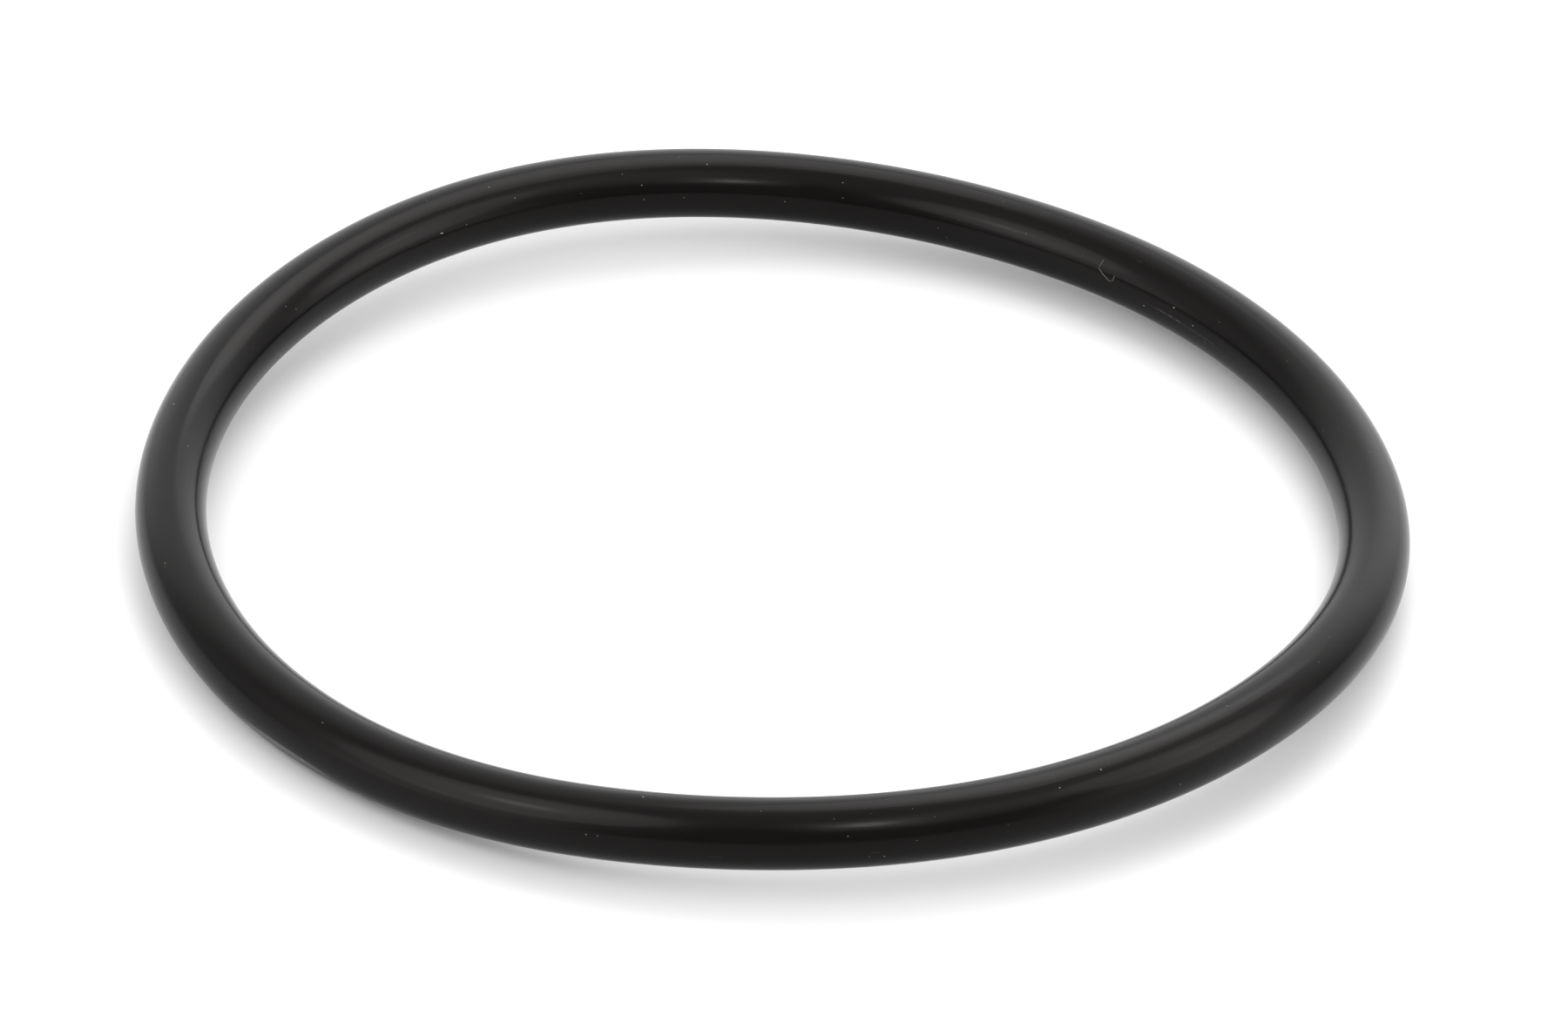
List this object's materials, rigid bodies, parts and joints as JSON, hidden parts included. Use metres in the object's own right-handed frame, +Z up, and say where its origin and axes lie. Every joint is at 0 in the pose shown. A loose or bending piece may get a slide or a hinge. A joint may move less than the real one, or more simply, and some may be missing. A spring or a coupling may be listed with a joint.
{
  "type": "rubber o-ring",
  "caption": "Black rubber o-ring seal: an endless moulded ring of round section, lying in a shallow saddle warp, with a fine mould line inside and out.",
  "frame": {"origin": "on the surface that the ring rests on, under the middle of the ring", "axes": "+Z up, along the axis of the ring; +Y away from the viewer of the picture; +X to their right"},
  "size_m": [0.0958, 0.0958, 0.0076],
  "materials": {
    "rubber": "black nitrile rubber, moulded, satin"
  },
  "bodies": {
    "root": {"o_ring": "rubber"}
  },
  "joints": []
}
